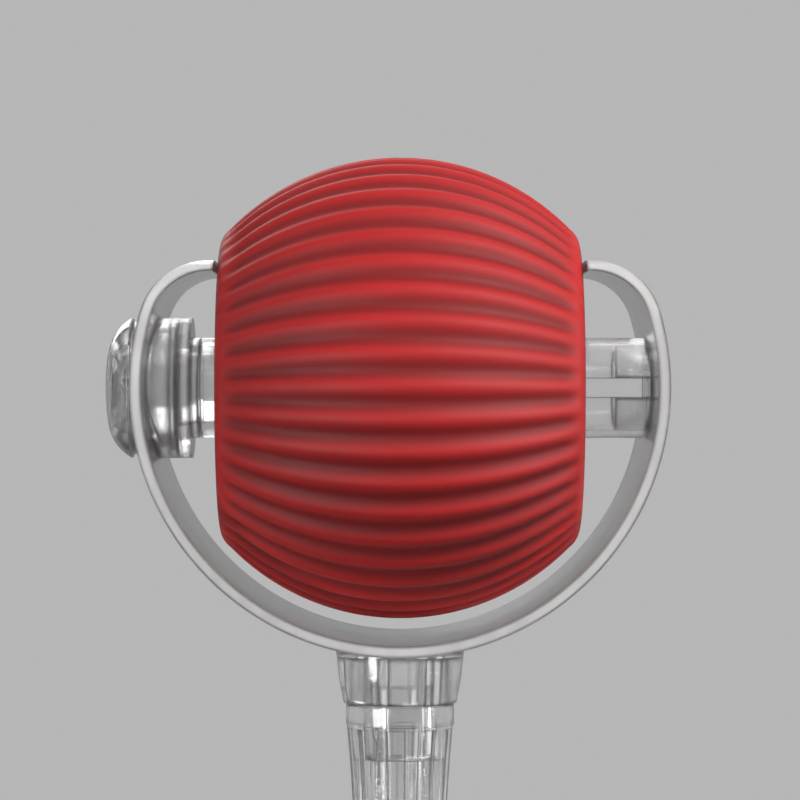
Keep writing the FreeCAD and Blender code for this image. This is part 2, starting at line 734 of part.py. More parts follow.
# Locking plunger: its flats stop it turning, its spigot carries the left end of the axle tube
lock_plunger = new_body("lock_plunger")
spigot_end = tube_left - spigot_reach
barrel_right = knob_bore_end + 0.2
barrel_left = barrel_right + plunger_length
plunger_travel = spigot_reach + spigot_release
turn(lock_plunger, drawn(lock_plunger, "XZ_Plane", [
    (-barrel_left, 0.0), (-barrel_left, plunger_radius), (-barrel_right, plunger_radius),
    (-barrel_right, spigot_radius), (-(spigot_end + 0.6), spigot_radius),
    (-spigot_end, spigot_radius - 0.6), (-spigot_end, 0.0)]))
for side in (1, -1):
    pocket(lock_plunger, drawn(lock_plunger, "XZ_Plane", box_path(
        -barrel_right, -(spigot_end - 1), *((spigot_flat, spigot_flat + 2) if side > 0
                                           else (-(spigot_flat + 2), -spigot_flat)))),
        spigot_radius * 2 + 2, both=True)
lug_x = barrel_right + 2.7
lug_tip = knob_bore_radius - 0.3
pad(lock_plunger, drawn(lock_plunger, "XY_Plane", circles=[(-lug_x, 0.0, lug_radius)]),
    lug_tip * 2, both=True)
put(lock_plunger, z=axle_height)

# Release knob: domed disc whose barrel has two helical cam slots for the plunger's lugs
release_knob = new_body("release_knob")
barrel_out = knob_bore_radius - running_gap
barrel_in = plunger_radius + running_gap
knob_right = knob_bore_end + 0.3
rim_back = collar_face + 0.3
knob_rim_radius = collar_radius + rim_overhang
knob_face = collar_face + knob_height
dome_r = knob_rim_radius * 0.57
dome_x = knob_face - knob_crown
crown = (dome_r * dome_r + (knob_face - dome_x) * (knob_face - dome_x)) / (2 * (knob_face - dome_x))
inside = knob_face - knob_roof
turn(release_knob, drawn(release_knob, "XZ_Plane", [
    (-knob_face, 0.0), -crown, (-dome_x, dome_r), -knob_shoulder, (-(rim_back + 0.2), knob_rim_radius),
    (-rim_back, knob_rim_radius - 0.2), (-rim_back, barrel_out), (-(bead_far - 0.2), barrel_out),
    (-(bead_far - 0.4), barrel_out + 0.35), (-(bead_near + 0.2), barrel_out + 0.35),
    (-(bead_near + 0.1), barrel_out), (-knob_right, barrel_out), (-knob_right, barrel_in),
    (-(inside - 0.8), barrel_in), (-inside, dome_r), (-inside, 0.0)]))
slot_half = lug_radius * 1.2
lead = plunger_travel * 4
slot_over = Size(7.5)
slot_start = lug_x - lead * slot_over / 360
cam = release_knob.newObject("PartDesign::SubtractiveHelix", "release_knob_cam")
cam.Profile = drawn(release_knob, "XZ_Plane", box_path(-(slot_start + slot_half),
                                                       -(slot_start - slot_half),
                                                       barrel_in - 0.6, barrel_out + 0.6))
cam.ReferenceAxis = (cam.Profile[0], ["H_Axis"])
cam.Mode = "pitch-height-angle"
bind(cam, "Pitch", lead)
bind(cam, "Height", plunger_travel + lead * slot_over / 180)
cam.Reversed = True
release_knob.Tip = cam
around(release_knob, [cam], 2)
put(release_knob, z=axle_height)
release_knob.Placement = FreeCAD.Placement(Vec(0, 0, 0), FreeCAD.Rotation(Vec(1, 0, 0), slot_over.value))
bind(release_knob, "Placement.Rotation.Angle", slot_over)

# Neck plug: solid pin that joins the fork's neck to the handle
neck_plug = new_body("neck_plug")
plug_top = neck_foot - plug_rise
turn(neck_plug, drawn(neck_plug, "XZ_Plane", [
    (0.0, -plug_top), (0.0, -plug_foot), (plug_radius - 0.5, -plug_foot),
    (plug_radius, -(plug_foot - 0.5)), (plug_radius, -(plug_top + 0.4)),
    (plug_radius - 0.4, -plug_top)]), axis="V_Axis")
put(neck_plug, z=axle_height)


def sweep_radius(drop, step):
    """Radius of an arc that starts upright and steps sideways by step over the drop."""
    return (drop * drop + step * step) / (2 * step)


# Handle grip: waisted clear moulding with sunk panels between ten ribs
handle_grip = new_body("handle_grip")
grip_top = neck_foot + 0.1
flare_radius = rim_radius - 0.15
upper = sweep_radius(waist_drop - rim_foot, flare_radius - waist_radius)
half_drop = (belly_drop - waist_drop) / 2
half_step = (belly_radius - waist_radius) / 2
middle = sweep_radius(half_drop, half_step)
lower = sweep_radius(cap_seat_drop - belly_drop, belly_radius - cap_seat_radius)


def grip_side(inset):
    """The handle's side from the rim down to the end cap."""
    return [(flare_radius - inset, -rim_foot), upper, (waist_radius - inset, -waist_drop), middle,
            (waist_radius + half_step - inset, -(waist_drop + half_drop)), -middle,
            (belly_radius - inset, -belly_drop), -lower, (cap_seat_radius - inset, -cap_seat_drop)]


turn(handle_grip, drawn(handle_grip, "XZ_Plane", [
    (plug_radius + seat_gap, -grip_top), (rim_radius - 0.3, -grip_top),
    (rim_radius, -(grip_top + 0.3)), (rim_radius, -rim_foot)] + grip_side(0)
    + [(grip_bore_radius, -cap_seat_drop), (grip_bore_radius, -(plug_foot + 0.2)),
       (plug_radius + seat_gap, -(plug_foot + 0.2))]), axis="V_Axis")
panel_top = rim_foot + 0.6
panel_end = cap_seat_drop - 6
top_r = (waist_radius - panel_depth
         + upper - root(upper * upper - (waist_drop - panel_top) * (waist_drop - panel_top)))
end_r = (belly_radius - panel_depth
         - (lower - root(lower * lower - (panel_end - belly_drop) * (panel_end - belly_drop))))
panel = groove(handle_grip, drawn(handle_grip, "XZ_Plane", [
    (belly_radius + 1, -panel_top), (top_r, -panel_top), upper,
    (waist_radius - panel_depth, -waist_drop), middle,
    (waist_radius + half_step - panel_depth, -(waist_drop + half_drop)), -middle,
    (belly_radius - panel_depth, -belly_drop), -lower, (end_r, -panel_end),
    (belly_radius + 1, -panel_end)]), axis="V_Axis", angle=panel_angle, both=True)
around(handle_grip, [panel], panel_count, axis="Z_Axis")
put(handle_grip, z=axle_height)
bind(handle_grip, "Placement.Rotation.Angle", grip_turn)

# Handle end cap: closes the bore, flat at the bottom, with a hole to hang it by
handle_end_cap = new_body("handle_end_cap")
cap_height = cap_length
cap_round = cap_height * 0.45
turn(handle_end_cap, drawn(handle_end_cap, "XZ_Plane", [
    (0.0, 0.0), (end_face_radius, 0.0), sweep_radius(cap_round, cap_seat_radius - end_face_radius),
    (cap_seat_radius, cap_round), (cap_seat_radius, cap_height - 0.05),
    (grip_bore_radius - seat_gap, cap_height - 0.05),
    (grip_bore_radius - seat_gap, cap_height + cap_plug_length - 0.5),
    (grip_bore_radius - 0.5, cap_height + cap_plug_length), (0.0, cap_height + cap_plug_length)]),
    axis="V_Axis")
pocket(handle_end_cap, drawn(handle_end_cap, "XZ_Plane",
                             circles=[(0.0, hang_hole_height, hang_hole_radius)]),
       cap_seat_radius * 2 + 2, both=True)

# Gear pair: the wheel is fixed on the axle tube and the motor's pinion walks round it


def gear(label, teeth, left, width, hub_path):
    """A spur gear: blank, one tooth with three-step flanks, and the tooth repeated."""
    body = new_body(label)
    pitch = gear_module * teeth / 2
    low = pitch - gear_module * 1.1
    tip = pitch + gear_module * 0.9
    turn(body, drawn(body, "XZ_Plane", hub_path(low)))
    half = gear_module * math.pi / 4 - backlash / 4
    if teeth.value > 20:
        foot_half, tip_half = half + gear_module * 0.19, half - gear_module * 0.32
    else:
        foot_half, tip_half = half + gear_module * 0.06, half - gear_module * 0.38
    tooth = pad(body, drawn(body, "YZ_Plane", out=-left, path=[
        (-foot_half, low - 0.3), (foot_half, low - 0.3), (foot_half, low), (half, pitch),
        (tip_half, tip), (-tip_half, tip), (-half, pitch), (-foot_half, low)]), width)
    around(body, [tooth], teeth)
    return body


axle_bore = tube_radius + seat_gap
thrust = bush_inner - thrust_gap
gear_left = board_face - gear_stand
plate_left = gear_left - gear_width - plate_gap
axle_gear = gear("axle_gear", axle_teeth, gear_left, gear_width, lambda low: [
    (-thrust, axle_bore), (-thrust, hub_radius - 0.7), (-gear_left, hub_radius - 0.7),
    (-gear_left, low), (-(gear_left - gear_width), low), (-(gear_left - gear_width), axle_bore)])
put(axle_gear, z=axle_height)

pinion_left = gear_left - 0.2
pinion_width = gear_width - 0.4
drive_pinion = gear("drive_pinion", pinion_teeth, pinion_left, pinion_width, lambda low: [
    (-pinion_left, shaft_radius + seat_gap), (-pinion_left, low),
    (-(pinion_left - pinion_width), low), (-(pinion_left - pinion_width), shaft_radius + seat_gap)])
drive_pinion.Placement = FreeCAD.Placement(Vec(0, 0, 0), FreeCAD.Rotation(Vec(1, 0, 0), 10))
bind(drive_pinion, "Placement.Rotation.Angle", 180 / pinion_teeth)
put(drive_pinion, z=axle_height + centre_distance)

motor_shaft = new_body("motor_shaft")
turn(motor_shaft, drawn(motor_shaft, "XZ_Plane", [
    (-(gear_left + 0.1), 0.0), (-(gear_left + 0.1), shaft_radius - 0.2),
    (-(gear_left - 0.1), shaft_radius), (-(plate_left - plate_thickness - 3), shaft_radius),
    (-(plate_left - plate_thickness - 3), 0.0)]))
put(motor_shaft, z=axle_height + centre_distance)

# Gear motor: gearbox, can and the two screws that hold it to the drive plate
plate_right = plate_left - plate_thickness
gearbox_housing = new_body("gearbox_housing")
nose = motor_radius * 0.375
turn(gearbox_housing, drawn(gearbox_housing, "XZ_Plane", [
    (-(plate_left - 0.2), shaft_radius + 0.07), (-(plate_left - 0.2), nose), (-plate_right, nose),
    (-plate_right, motor_radius), (-(plate_right - gearbox_length * 0.42), motor_radius),
    (-(plate_right - gearbox_length * 0.42), motor_radius - 0.4),
    (-(plate_right - gearbox_length * 0.5), motor_radius - 0.4),
    (-(plate_right - gearbox_length * 0.5), motor_radius),
    (-(plate_right - gearbox_length), motor_radius), (-(plate_right - gearbox_length), 0.0),
    (-(plate_right - 3.3), 0.0), (-(plate_right - 3.3), shaft_radius + 0.07)]))
motor_spot = motor_radius * 0.72
for side in (1, -1):
    tapped = pocket(gearbox_housing, drawn(gearbox_housing, "YZ_Plane", out=-(plate_right + 0.5),
                                           circles=[(side * motor_spot, 0.0,
                                                     small_screw_radius + seat_gap)]), Size(3.0))
    tapped.Reversed = True
put(gearbox_housing, z=axle_height + centre_distance)

motor_can = new_body("motor_can")
can_left = plate_right - gearbox_length
turn(motor_can, drawn(motor_can, "XZ_Plane", [
    (-can_left, 0.0), (-can_left, motor_radius - 0.2), (motor_length - can_left - 0.6, motor_radius - 0.2),
    (motor_length - can_left, motor_radius - 0.8), (motor_length - can_left, 2.5),
    (motor_length - can_left + 1.2, 2.5), (motor_length - can_left + 1.2, 0.0)]))
for side in (1, -1):
    pocket(motor_can, drawn(motor_can, "XZ_Plane", box_path(
        -can_left + 0.6, motor_length - can_left + 0.1,
        *((motor_radius - 1.6, motor_radius + 1) if side > 0
          else (-(motor_radius + 1), -(motor_radius - 1.6))))), motor_radius * 2 + 2, both=True)
put(motor_can, z=axle_height + centre_distance)

motor_screws = new_body("motor_screws")
for side in (1, -1):
    pad(motor_screws, drawn(motor_screws, "YZ_Plane", out=-(plate_left - 0.05),
                            circles=[(side * motor_spot, 0.0, small_head_radius)]), Size(0.7))
    pad(motor_screws, drawn(motor_screws, "YZ_Plane", out=-(plate_left - 0.5),
                            circles=[(side * motor_spot, 0.0, small_screw_radius)]),
        plate_thickness + 1.7)
put(motor_screws, z=axle_height + centre_distance)

# Drive frame: plate across the left cup with three posts for the board and a tray for the battery
drive_frame = new_body("drive_frame")
plate_radius = barrel(plate_left, inner) - plate_edge_gap
frame_circles = [(0.0, 0.0, plate_radius), (0.0, 0.0, tube_radius + 1.2),
                 (0.0, centre_distance, nose + running_gap)]
pad(drive_frame, drawn(drive_frame, "YZ_Plane", out=-plate_left, circles=frame_circles),
    plate_thickness)
for side in (1, -1):
    sink = pocket(drive_frame, drawn(drive_frame, "YZ_Plane", out=-(plate_left - 0.8),
                                     circles=[(side * motor_spot, centre_distance,
                                               small_head_radius + 0.1)]), Size(2.0))
    hole = pocket(drive_frame, drawn(drive_frame, "YZ_Plane", out=-(plate_left + 0.5),
                                     circles=[(side * motor_spot, centre_distance,
                                               small_screw_radius + 0.1)]),
                  plate_thickness + 1)
    hole.Reversed = True
post = pad(drive_frame, drawn(drive_frame, "YZ_Plane", out=-(plate_left - 0.5),
                              circles=[screw_spot + (post_radius,)]),
           board_face - plate_left + 0.5, back=True)
pin = pad(drive_frame, drawn(drive_frame, "YZ_Plane", out=-(board_face - 0.5),
                             circles=[screw_spot + (pin_radius,)]),
          post_left - board_face + 0.5, back=True)
pilot = pocket(drive_frame, drawn(drive_frame, "YZ_Plane", out=-(post_left + 0.5),
                                  circles=[screw_spot + (screw_radius + seat_gap,)]),
               post_left - board_face + 1.5)
pilot.Reversed = True
around(drive_frame, [post, pin, pilot], 3)
battery_left = plate_right - battery_gap
battery_top = tube_radius + battery_drop
tray_y = battery_width / 2 + 0.1
tray_z = battery_top + battery_height + 0.1
tray_right = battery_length - battery_left + 0.1
pad(drive_frame, drawn(drive_frame, "YZ_Plane", out=-(plate_right + 0.5), path=[
    (-(tray_y + tray_wall), -(tray_z - 5)), (-(tray_y + tray_wall), -(tray_z + tray_wall)),
    (tray_y + tray_wall, -(tray_z + tray_wall)), (tray_y + tray_wall, -(tray_z - 5)),
    (tray_y, -(tray_z - 5)), (tray_y, -tray_z), (-tray_y, -tray_z), (-tray_y, -(tray_z - 5))]),
    plate_right + 0.5 + tray_right + tray_wall)
pad(drive_frame, drawn(drive_frame, "YZ_Plane", out=tray_right, path=box_path(
    -(tray_y + 0.2), tray_y + 0.2, -(tray_z + 0.2), -(tray_z - 2.5))), tray_wall)
put(drive_frame, z=axle_height)

battery_pack = new_body("battery_pack")
pad(battery_pack, drawn(battery_pack, "YZ_Plane", out=-battery_left, path=box_path(
    -battery_width / 2, battery_width / 2, -(battery_top + battery_height), -battery_top)),
    battery_length)
round_edges(battery_pack, Size(1.5), lambda e: abs(e.BoundBox.XLength - battery_length.value) < 0.01)
put(battery_pack, z=axle_height)

# Circuit board and what is soldered on it
board_front = board_face + board_thickness
board_radius = barrel(board_front, inner) - board_edge_gap
board_hole_radius = hub_radius + board_hole_gap
circuit_board = new_body("circuit_board")
pad(circuit_board, drawn(circuit_board, "YZ_Plane", out=-(board_face + board_thickness), circles=[
    (0.0, 0.0, board_radius), (0.0, 0.0, board_hole_radius)]), board_thickness)
peg = pocket(circuit_board, drawn(circuit_board, "YZ_Plane", out=-(board_face + board_thickness + 1),
                                  circles=[screw_spot + (pin_radius + 0.1,)]), board_thickness + 2)
peg.Reversed = True
around(circuit_board, [peg], 3)
put(circuit_board, z=axle_height)

charge_socket = new_body("charge_socket")
socket_top = shell_end - 0.1
socket_half = port_width / 2
pad(charge_socket, drawn(charge_socket, "YZ_Plane", out=-socket_top, path=box_path(
    -(port_y + port_height / 2), -(port_y - port_height / 2), -socket_half, socket_half)),
    socket_top - board_front)
round_edges(charge_socket, port_height * 0.3,
            lambda e: abs(e.BoundBox.XLength - (socket_top - board_front).value) < 0.01)
mouth = pocket(charge_socket, drawn(charge_socket, "YZ_Plane", out=-(socket_top + 0.5), path=box_path(
    -(port_y + port_height / 2 - 0.4), -(port_y - port_height / 2 + 0.4),
    -(socket_half - 0.4), socket_half - 0.4)), Size(3.0))
mouth.Reversed = True
put(charge_socket, z=axle_height)

tact_switch = new_body("tact_switch")
pad(tact_switch, drawn(tact_switch, "YZ_Plane", out=-(board_front + 1.6), path=box_path(
    button_y - 2.3, button_y + 2.3, -2.3, 2.3)), Size(1.6))
button_inner = shell_end - 0.9
pad(tact_switch, drawn(tact_switch, "YZ_Plane", out=-(button_inner - button_travel - 0.05),
                       circles=[(button_y, 0.0, 1.0)]),
    button_inner - button_travel - 0.05 - board_front - 1.4)
put(tact_switch, z=axle_height)

power_button = new_body("power_button")
turn(power_button, drawn(power_button, "XZ_Plane", [
    (-(cover_face + 0.6), 0.0), (-(cover_face + 0.6), button_radius - 0.5),
    (-(cover_face + 0.3), button_radius), (-(shell_end - 0.1), button_radius),
    (-(shell_end - 0.1), button_radius + button_flange), (-button_inner, button_radius + button_flange),
    (-button_inner, 0.0)]))
put(power_button, y=button_y, z=axle_height)

port_plug = new_body("port_plug")
pad(port_plug, drawn(port_plug, "YZ_Plane", out=-(cover_face + 0.6), path=box_path(
    -(port_y + port_height / 2 + 0.8), -(port_y - port_height / 2 - 0.8),
    -(socket_half + 1.1), socket_half + 1.1)), Size(0.55))
round_edges(port_plug, Size(1.2), lambda e: abs(e.BoundBox.XLength - 0.55) < 0.01)
pad(port_plug, drawn(port_plug, "YZ_Plane", out=-(cover_face + 0.2), path=box_path(
    -(port_y + port_height / 2 + 0.2), -(port_y - port_height / 2 - 0.2),
    -(socket_half + 0.2), socket_half + 0.2)), cover_thickness)
put(port_plug, z=axle_height)

status_lens = new_body("status_lens")
pad(status_lens, drawn(status_lens, "YZ_Plane", out=-cover_face, circles=[
    (lens_y, lens_z, lens_radius)]), cover_face - board_front - 0.6)
put(status_lens, z=axle_height)

# Pendulum weight: zinc sector clamped on the axle tube, the mass the motor works against
pendulum_weight = new_body("pendulum_weight")
weight_left = tray_right + tray_wall + weight_gap
weight_right = post_left - 4.0 - weight_side_gap
weight_radius = barrel(weight_right, inner) - weight_edge_gap
weight_hub_radius = axle_bore + weight_hub_wall
turn(pendulum_weight, drawn(pendulum_weight, "XZ_Plane", box_path(
    weight_left, thrust, axle_bore, weight_hub_radius)))
turn(pendulum_weight, drawn(pendulum_weight, "XZ_Plane", box_path(
    weight_left, weight_right, -weight_radius, -(axle_bore + 0.5))),
    angle=weight_spread, both=True)
grub_x = (weight_right + thrust) / 2
pocket(pendulum_weight, drawn(pendulum_weight, "XY_Plane", circles=[
    (grub_x, 0.0, screw_radius + seat_gap)]), weight_hub_radius + 1, back=True)
put(pendulum_weight, z=axle_height)

weight_screw = new_body("weight_screw")
pad(weight_screw, drawn(weight_screw, "XY_Plane", out=tube_radius + seat_gap, circles=[
    (grub_x, 0.0, screw_radius)]), weight_hub_radius - tube_radius + 0.4)
put(weight_screw, z=axle_height)

doc.recompute()
pieces = [body for body in doc.Objects if body.TypeId == "PartDesign::Body"]
faults = ["%s %s" % (item.Name, item.State) for item in doc.Objects
          if "Invalid" in item.State or "Error" in item.State]
for piece in pieces:
    if piece.Shape.isNull() or not piece.Shape.isValid():
        faults.append(piece.Label + " has no valid shape")
if faults:
    raise RuntimeError("; ".join(faults))
for piece in pieces:
    piece.Shape.exportStep("parts/%s.step" % piece.Label)
    box = piece.Shape.BoundBox
    print("%-20s solids %d volume %9.1f  x %7.2f %7.2f  y %7.2f %7.2f  z %7.2f %7.2f" % (
        piece.Label, len(piece.Shape.Solids), piece.Shape.Volume, box.XMin, box.XMax,
        box.YMin, box.YMax, box.ZMin, box.ZMax))
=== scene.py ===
import math

import bpy
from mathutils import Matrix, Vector


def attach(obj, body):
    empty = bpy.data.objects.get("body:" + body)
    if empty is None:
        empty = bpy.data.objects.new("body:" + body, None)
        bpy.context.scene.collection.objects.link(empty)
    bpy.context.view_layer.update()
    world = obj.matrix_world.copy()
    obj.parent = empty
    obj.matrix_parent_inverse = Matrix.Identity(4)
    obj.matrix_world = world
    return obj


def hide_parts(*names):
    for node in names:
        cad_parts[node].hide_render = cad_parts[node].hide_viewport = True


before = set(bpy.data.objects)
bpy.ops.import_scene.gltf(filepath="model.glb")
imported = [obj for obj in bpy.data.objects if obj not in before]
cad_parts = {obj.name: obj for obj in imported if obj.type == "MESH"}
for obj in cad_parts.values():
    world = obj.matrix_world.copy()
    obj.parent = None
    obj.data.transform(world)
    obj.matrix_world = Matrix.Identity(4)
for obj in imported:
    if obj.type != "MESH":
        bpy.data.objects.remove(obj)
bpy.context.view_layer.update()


# Axle tube
# The clear tube that the ball turns on. A flat web through its bore keys it in the right arm of
# the fork, and the plunger enters its left end. It is injection moulded in polycarbonate.

class Socket:
    """A shader socket that can be added, scaled and compared like a number."""

    def __init__(self, tree, plug=None):
        self.tree, self.plug = tree, plug

    def node(self, kind, settings={}, values={}, out=0):
        """A node of one type: its settings, then the values or links of its sockets."""
        made = self.tree.nodes.new(kind)
        for key, value in settings.items():
            setattr(made, key, value)
        for key, value in values.items():
            if isinstance(value, Socket):
                self.tree.links.new(value.plug, made.inputs[key])
            else:
                made.inputs[key].default_value = value
        return Socket(self.tree, made.outputs[out] if made.outputs else None)

    def also(self, out):
        """Another output of the node that this socket belongs to."""
        return Socket(self.tree, self.plug.node.outputs[out])

    def maths(self, operation, other=0.0):
        """This number through a Math node, with the other as the node's second value."""
        return self.node("ShaderNodeMath", {"operation": operation}, {0: self, 1: other})

    def vector(self, operation, other=(0, 0, 0), out="Vector"):
        """This vector through a Vector Math node, with the other as the node's second value."""
        return self.node("ShaderNodeVectorMath", {"operation": operation}, {0: self, 1: other}, out)

    def axes(self):
        """The x, y and z of this vector."""
        x = self.node("ShaderNodeSeparateXYZ", values={0: self}, out="X")
        return x, x.also("Y"), x.also("Z")

    def __add__(self, other):
        return self.maths("ADD", other)

    def __sub__(self, other):
        return self.maths("SUBTRACT", other)

    def __rsub__(self, other):
        return self.node("ShaderNodeMath", {"operation": "SUBTRACT"}, {0: other, 1: self})

    def __mul__(self, other):
        return self.maths("MULTIPLY", other)

    def __pow__(self, other):
        return self.maths("POWER", other)

    def __abs__(self):
        return self.maths("ABSOLUTE")

    __radd__, __rmul__ = __add__, __mul__

    def above(self, low, high):
        """0 where the number is under low, 1 where it is over high, and smooth between."""
        return self.node("ShaderNodeMapRange", {"interpolation_type": "SMOOTHSTEP"},
                         {"Value": self, "From Min": low, "From Max": high})

    def tint(self, first, second):
        """The first colour where the number is 0 and the second where it is 1. A Mix node takes
        them in its sockets 6 and 7 and gives the mixed colour in its output 2."""
        first, second = (colour if isinstance(colour, Socket) else (*colour, 1)
                         for colour in (first, second))
        return self.node("ShaderNodeMix", {"data_type": "RGBA"}, {0: self, 6: first, 7: second}, 2)

    def blend(self, first, second):
        """The first shader where the number is 0 and the second where it is 1."""
        return self.node("ShaderNodeMixShader", values={0: self, 1: first, 2: second})


def blank(owner):
    """Clears the nodes of a material or a world and gives the first handle on its tree."""
    owner.use_nodes = True
    owner.node_tree.nodes.clear()
    return Socket(owner.node_tree)


def new_finish(name):
    """An empty material and the first handle on its node tree."""
    made = bpy.data.materials.new(name)
    return made, blank(made)


def coat(shade, values, relief, height, rounded=None):
    """A shader with a relief of the given height in metres, on rounded corners if given."""
    bump = {"Height": relief, "Distance": height}
    if rounded is not None:
        bump["Normal"] = rounded
    return shade.node("ShaderNodeBsdfPrincipled", values={
        **values, "Normal": shade.node("ShaderNodeBump", values=bump)})


def noise(shade, scale, detail=3.0, rough=0.5, stretch=(1, 1, 1)):
    """Soft noise in the part's own metres. A stretch under 1 draws it out along that axis."""
    place = shade.node("ShaderNodeTexCoord", out="Object")
    place = shade.node("ShaderNodeMapping", values={"Vector": place, "Scale": stretch})
    return shade.node("ShaderNodeTexNoise", values={
        "Vector": place, "Scale": scale, "Detail": detail, "Roughness": rough})


def dress(finish, *names):
    """Gives a finish to nodes of the frame, on the slots of their objects."""
    for name in names:
        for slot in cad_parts[name].material_slots:
            slot.material = finish


def on_outline(shade, half_depth, top, radius):
    """1 on the narrow faces that run round a band: in front, behind and over its rounded top.
    The band's half depth, the height of its top and its corner radius say where they lie."""
    mask_skin, facet_allowance = 0.00015, 0.00002
    _, y, z = shade.node("ShaderNodeTexCoord", out="Object").axes()
    out = (abs(y) - (half_depth - radius)).maths("MAXIMUM")
    up = (z - (top - radius)).maths("MAXIMUM")
    return ((out * out + up * up) ** 0.5).above(radius - mask_skin, radius - facet_allowance)


def clear_finish(name, tone, milk, haze, flow, corner, outline=None):
    """Clear moulded polycarbonate with flow lines, scuffs and a little milk. Its rounded corners
    and the faces that are seen along are painted dark: painted shade that stands in for the dark
    lines that clear plastic shows there. The narrow faces on the outline of a band are matt and
    painted pale: painted light that stands in for the light seen along the band's depth."""
    wave_height = 0.00035
    made, shade = new_finish(name)
    swirl = noise(shade, 55.0, detail=2.0, rough=0.4, stretch=flow)
    scuff = noise(shade, 1400.0, detail=4.0, rough=0.6).above(0.58, 0.72)
    wipe = noise(shade, 240.0, rough=0.55, stretch=(1, 1, 0.25)).above(0.35, 0.75)
    slant = shade.node("ShaderNodeLayerWeight", values={"Blend": 0.5}, out="Facing")
    slant = slant.above(0.72, 0.97)
    rounded = shade.node("ShaderNodeBevel", {"samples": 6}, {"Radius": corner})
    level = shade.node("ShaderNodeNewGeometry", out="Normal")
    bent = (1 - rounded.vector("DOT_PRODUCT", level, "Value")).above(0.02, 0.16)
    clear = coat(shade, {
        "Base Color": swirl.tint(tone, tuple(min(1.0, part * 1.02) for part in tone)),
        "Roughness": haze + wipe * 0.03 + scuff * 0.08,
        "Transmission Weight": 1 - milk,
        "IOR": 1.58,
        "Specular IOR Level": 0.8,
    }, swirl + scuff * 0.02, wave_height, rounded)
    # The dark tone is painted shade, laid on the rounded corners and on faces seen at a slant.
    painted_edge_tone = wipe.tint((0.03, 0.03, 0.032), (0.07, 0.07, 0.073))
    painted_edge_cover = (slant * 0.8).maths("MAXIMUM", bent * 0.85)
    if outline:
        # The band's narrow faces get a pale matt tone: painted light that stands in for the light
        # seen along the band's depth.
        painted_glow_faces = on_outline(shade, *outline) * (1 - bent)
        painted_edge_tone = painted_glow_faces.tint(painted_edge_tone, wipe.tint((0.84, 0.84, 0.845), (0.74, 0.74, 0.745)))
        painted_edge_cover = painted_edge_cover.maths("MAXIMUM", painted_glow_faces * 0.8)
    rim = coat(shade, {
        "Base Color": painted_edge_tone,
        "Roughness": haze + 0.2 + scuff * 0.08,
    }, swirl, wave_height)
    shade.node("ShaderNodeOutputMaterial", values={"Surface": painted_edge_cover.blend(clear, rim)})
    return made


clear_tube = clear_finish("clear_tube", tone=(0.94, 0.945, 0.95), milk=0.05, haze=0.03,
                          flow=(0.2, 1, 1), corner=0.0003)
dress(clear_tube, "axle_tube")


# Gear train
# The gear is pressed on the tube, its pinion on the motor's shaft, and a flanged bush in the
# hub of each end cover. All are moulded in acetal, which is milky white and a little waxy.

def surface(shade, values, relief, height):
    """A finish with one shader all over."""
    shade.node("ShaderNodeOutputMaterial", values={"Surface": coat(shade, values, relief, height)})


def solid_finish(name, light, dark, rough, grain, lift, patches=45.0, metal=0.0):
    """Opaque stock: two tones in soft patches, a fine grain in relief, and rubbed places."""
    made, shade = new_finish(name)
    patch = noise(shade, patches).above(0.3, 0.7)
    fine = noise(shade, grain, rough=0.6)
    rubbed = noise(shade, 210.0, detail=4.0, rough=0.6).above(0.55, 0.68)
    surface(shade, {
        "Base Color": patch.tint(light, dark),
        "Roughness": rough + fine * 0.12 - rubbed * 0.08,
        "Metallic": metal,
    }, fine, lift)
    return made


acetal = solid_finish("acetal", light=(0.80, 0.79, 0.74), dark=(0.68, 0.67, 0.62), rough=0.38,
                      grain=1800.0, lift=0.00002)
dress(acetal, "axle_gear", "drive_pinion", "left_bush", "right_bush")


# Motor
# A small can motor of rolled, zinc-plated steel on a black gearbox, with a ground steel shaft.
# Two screws hold the gearbox to the drive frame's plate.

def turned_finish(name, light, dark, rough, rings, lift):
    """Turned or drawn metal: fine lines round the ball's axis, with stains between them."""
    made, shade = new_finish(name)
    fine = noise(shade, rings, detail=2.0, stretch=(1, 0.04, 0.04))
    stain = noise(shade, 130.0, detail=4.0, rough=0.6).above(0.4, 0.7)
    surface(shade, {
        "Base Color": stain.tint(light, dark),
        "Roughness": rough + fine * 0.16 + stain * 0.1,
        "Metallic": 1.0 - stain * 0.08,
    }, fine, lift)
    return made


steel = turned_finish("steel", light=(0.62, 0.62, 0.63), dark=(0.42, 0.42, 0.44), rough=0.2,
                      rings=5200.0, lift=0.00001)
dress(steel, "motor_shaft", "motor_screws")
plated_steel = turned_finish("plated_steel", light=(0.72, 0.72, 0.70), dark=(0.5, 0.5, 0.5),
                             rough=0.26, rings=3600.0, lift=0.000008)
dress(plated_steel, "motor_can")
black_plastic = solid_finish("black_plastic", light=(0.022, 0.022, 0.024), dark=(0.03, 0.03, 0.032),
                             rough=0.45, grain=2600.0, lift=0.00003)
dress(black_plastic, "gearbox_housing")


# Drive frame
# The plate across the left cup with its posts and the battery tray, one moulding in white
# plastic with a fine spark grain. The left cover's screws hold it by its posts.

white_plastic = solid_finish("white_plastic", light=(0.78, 0.78, 0.76), dark=(0.72, 0.72, 0.71),
                             rough=0.42, grain=3000.0, lift=0.00003)
dress(white_plastic, "drive_frame")


# Battery
# A pouch cell in pale, crinkled metal foil. It lies in the drive frame's tray, on the other
# side of the axle from the motor, and balances it.

battery_foil = solid_finish("battery_foil", light=(0.60, 0.61, 0.62), dark=(0.48, 0.49, 0.51),
                            rough=0.25, grain=420.0, lift=0.0002, patches=90.0, metal=0.9)
dress(battery_foil, "battery_pack")


# Circuit board
# A ring of glass-filled board under green lacquer, on the three posts of the drive frame, with
# tracks that show as paler lines. The plated charging socket and the switch are soldered on it.

